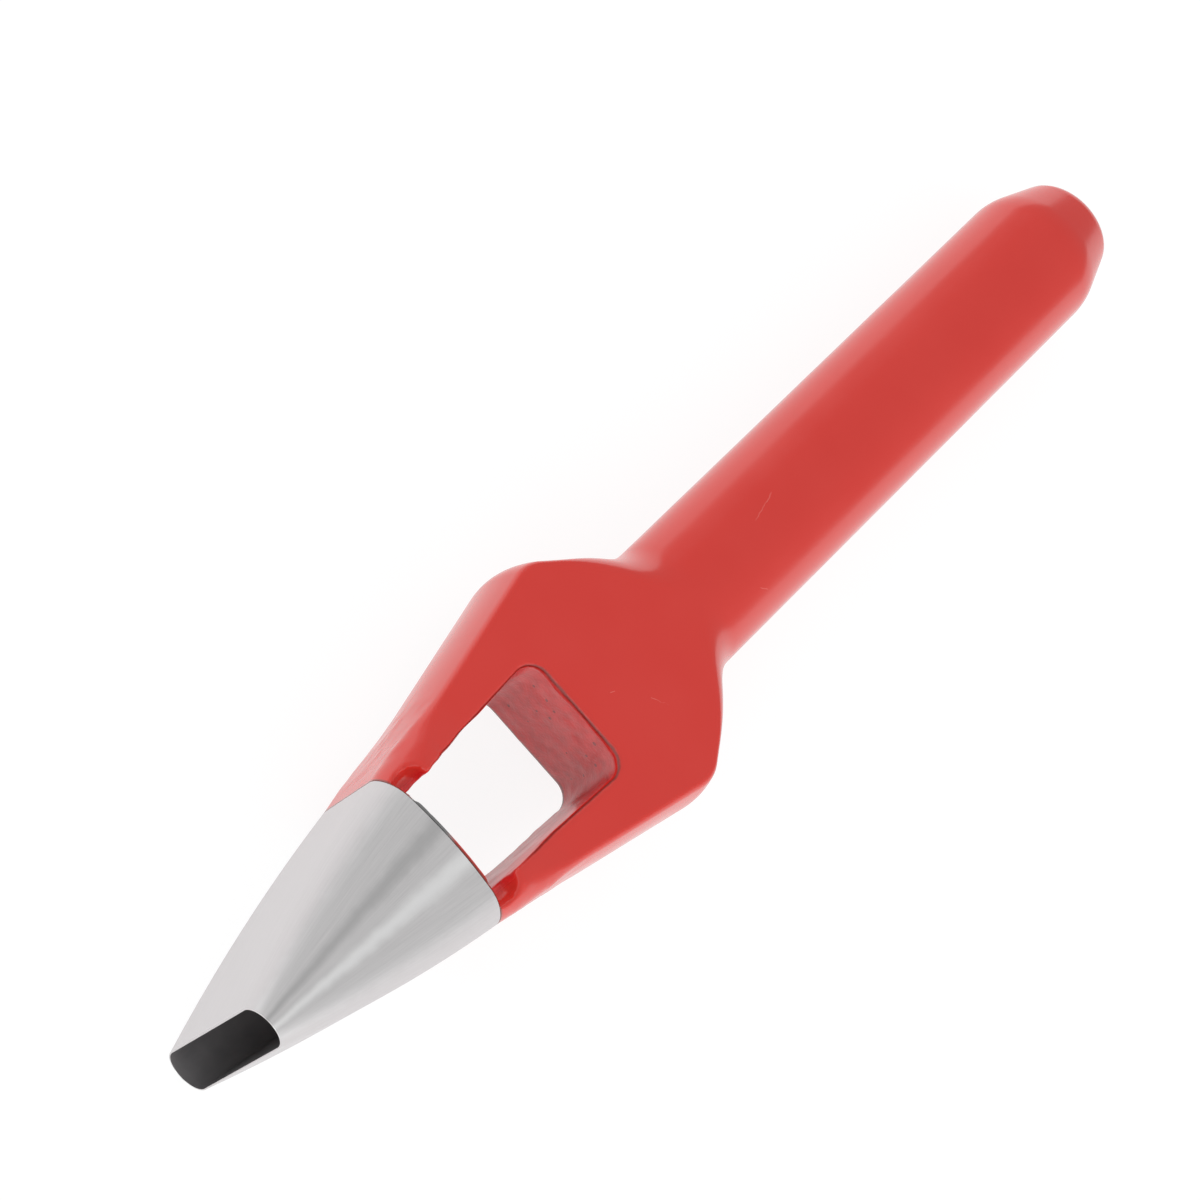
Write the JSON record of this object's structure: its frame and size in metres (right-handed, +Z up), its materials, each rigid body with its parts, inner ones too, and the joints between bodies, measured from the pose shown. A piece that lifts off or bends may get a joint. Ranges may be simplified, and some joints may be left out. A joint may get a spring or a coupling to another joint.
{
  "type": "hollow punch",
  "caption": "Forged oblong hollow punch with a round red-lacquered shank, flat shoulders, a slug window and a bright ground bell that tapers to a slot-shaped cutting mouth.",
  "frame": {"origin": "on the surface that the tool lies on, under the middle of its bounding box", "axes": "+X along the tool from the cutting mouth to the struck end, +Y across the broad front, +Z up out of the broad front, with the slot's length upright"},
  "size_m": [0.153, 0.0326, 0.0253],
  "materials": {
    "ground_steel": "ground bright, with fine marks along the tool",
    "red_lacquer": "gloss lacquer"
  },
  "bodies": {
    "root": {"forged_steel": "ground_steel", "lacquer_coat": "red_lacquer"}
  },
  "joints": []
}
